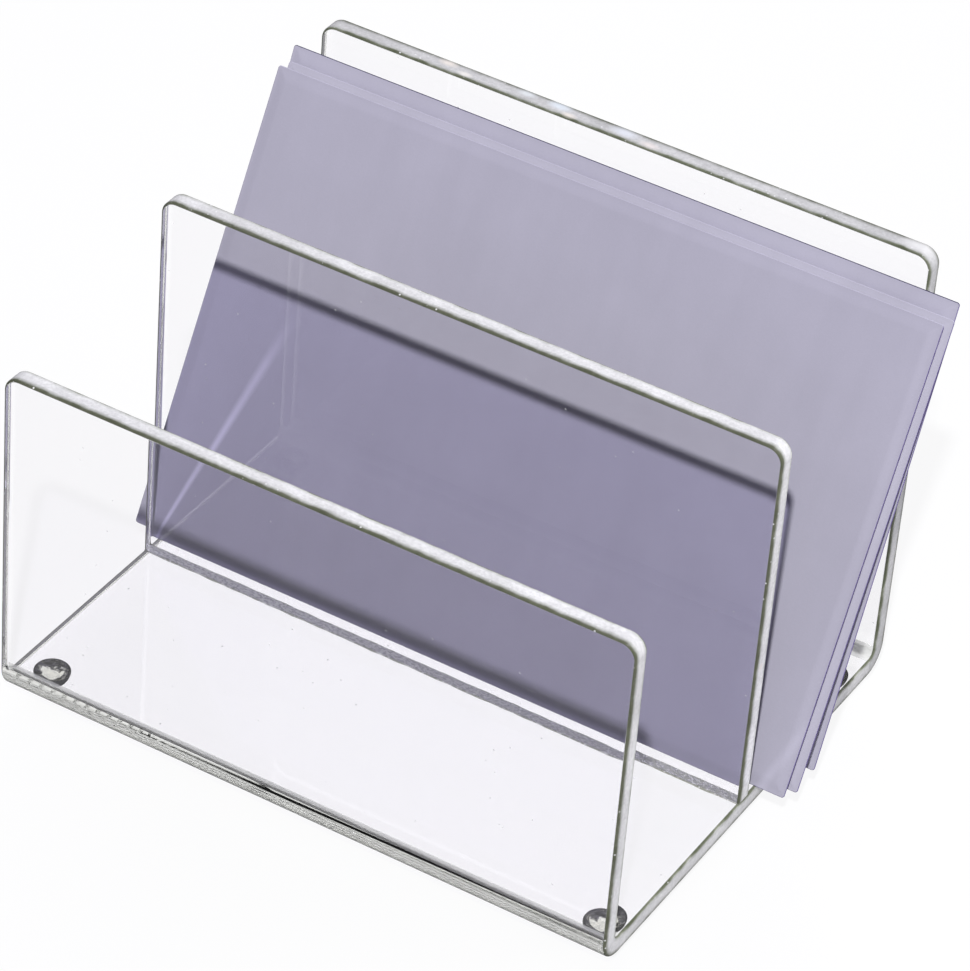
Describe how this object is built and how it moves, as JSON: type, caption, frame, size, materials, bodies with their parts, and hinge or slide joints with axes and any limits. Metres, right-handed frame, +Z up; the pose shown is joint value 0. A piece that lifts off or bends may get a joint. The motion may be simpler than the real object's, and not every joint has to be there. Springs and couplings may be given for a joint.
{
  "type": "desk letter sorter",
  "caption": "Clear acrylic desk letter sorter: a sheet bent into a U with a middle divider and domed feet, holding lavender envelopes that lift out.",
  "frame": {"origin": "on the desk, under the middle of the sorter: midway between its two side edges and midway between the outer faces of the front and back panels, level with the tips of the feet", "axes": "+X along the panels to the right as seen from the front, +Y from the low front panel to the tall back panel, +Z up"},
  "size_m": [0.224, 0.165, 0.1541],
  "materials": {
    "clear_acrylic": "clear cast acrylic, polished faces and flame-polished edges",
    "cured_cement": "clear solvent cement with small trapped bubbles",
    "clear_foot": "clear soft polyurethane, glossy dome",
    "foot_adhesive": "clear pressure-sensitive adhesive",
    "lavender_paper": "smooth uncoated writing paper"
  },
  "bodies": {
    "sorter": {"outer_sheet": "clear_acrylic", "middle_divider": "clear_acrylic", "divider_cement": "cured_cement", "foot_front_left": "clear_foot", "foot_front_right": "clear_foot", "foot_back_left": "clear_foot", "foot_back_right": "clear_foot", "foot_pad_front_left": "foot_adhesive", "foot_pad_front_right": "foot_adhesive", "foot_pad_back_left": "foot_adhesive", "foot_pad_back_right": "foot_adhesive"},
    "back_envelope": {"envelope_back": "lavender_paper"},
    "middle_envelope": {"envelope_middle": "lavender_paper"},
    "front_envelope": {"envelope_front": "lavender_paper"}
  },
  "joints": [
    {"name": "back_envelope_lift", "type": "slide", "parent": "sorter", "child": "back_envelope", "axis": [0, 0, 1], "range_m": [0, 0.15]},
    {"name": "middle_envelope_lift", "type": "slide", "parent": "back_envelope", "child": "middle_envelope", "axis": [0, 0, 1], "range_m": [0, 0.15]},
    {"name": "front_envelope_lift", "type": "slide", "parent": "middle_envelope", "child": "front_envelope", "axis": [0, 0, 1], "range_m": [0, 0.15]}
  ]
}
